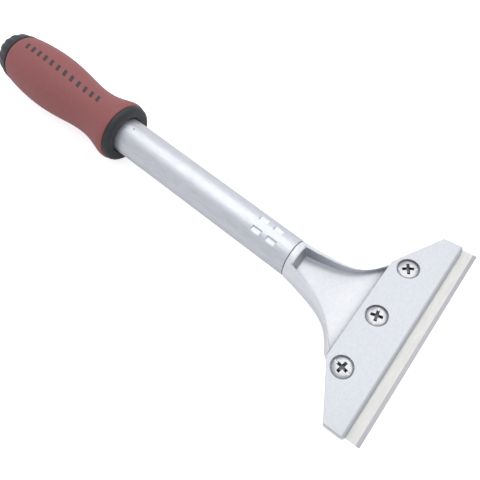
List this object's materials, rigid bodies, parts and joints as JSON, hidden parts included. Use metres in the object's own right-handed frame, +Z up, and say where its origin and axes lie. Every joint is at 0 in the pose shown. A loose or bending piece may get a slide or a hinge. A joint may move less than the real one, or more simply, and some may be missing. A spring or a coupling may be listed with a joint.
{
  "type": "floor scraper",
  "caption": "Long-handled razor scraper: aluminium shaft, bent cast head, wide single-edge blade under a screwed clamp plate, soft red grip.",
  "frame": {"origin": "under the middle of the tool's bounding box, level with the lowest point of the grip, below the shaft's own axis", "axes": "+X along the shaft towards the blade edge, +Y across the blade, +Z up on the side of the clamp plate; the shaft's axis lies 16.25 mm above the origin"},
  "size_m": [0.2608, 0.103, 0.0325],
  "materials": {
    "satin_aluminium": "satin drawn tube with fine lengthwise lines",
    "silver_painted_casting": "smooth silver paint on a die casting",
    "pale_plate_metal": "satin pale grey coated plate",
    "ground_steel": "ground steel strip, darker along the sharpened bevel",
    "bright_zinc": "bright zinc plate",
    "black_plastic": "matt black moulded plastic",
    "brick_red_rubber": "matt brick-red soft overmould"
  },
  "bodies": {
    "tool": {"shaft_tube": "satin_aluminium", "head_casting": "silver_painted_casting", "handle_core": "black_plastic", "handle_grip": "brick_red_rubber", "end_cap": "black_plastic"},
    "plate": {"clamp_plate": "pale_plate_metal"},
    "blade": {"blade": "ground_steel"},
    "screw_left": {"clamp_screw_left": "bright_zinc"},
    "screw_middle": {"clamp_screw_middle": "bright_zinc"},
    "screw_right": {"clamp_screw_right": "bright_zinc"}
  },
  "joints": [
    {"name": "clamp_lift", "type": "slide", "parent": "tool", "child": "plate", "axis": [-0.2957, 0, 0.9553], "range_m": [0, 0.0016]},
    {"name": "blade_slide", "type": "slide", "parent": "tool", "child": "blade", "axis": [0.9553, 0, 0.2957], "range_m": [0, 0.012]},
    {"name": "screw_turn_left", "type": "hinge", "parent": "plate", "child": "screw_left", "pos_m": [0.10891, 0.0279, 0.02069], "axis": [-0.2957, 0, 0.9553], "range_deg": [0, 720]},
    {"name": "screw_turn_middle", "type": "hinge", "parent": "plate", "child": "screw_middle", "pos_m": [0.10891, 0, 0.02069], "axis": [-0.2957, 0, 0.9553], "range_deg": [0, 720]},
    {"name": "screw_turn_right", "type": "hinge", "parent": "plate", "child": "screw_right", "pos_m": [0.10891, -0.0279, 0.02069], "axis": [-0.2957, 0, 0.9553], "range_deg": [0, 720]}
  ],
  "couplings": [
    {"joint": "screw_turn_left", "follows": "clamp_lift", "rad_per_m": 7854},
    {"joint": "screw_turn_middle", "follows": "clamp_lift", "rad_per_m": 7854},
    {"joint": "screw_turn_right", "follows": "clamp_lift", "rad_per_m": 7854}
  ]
}
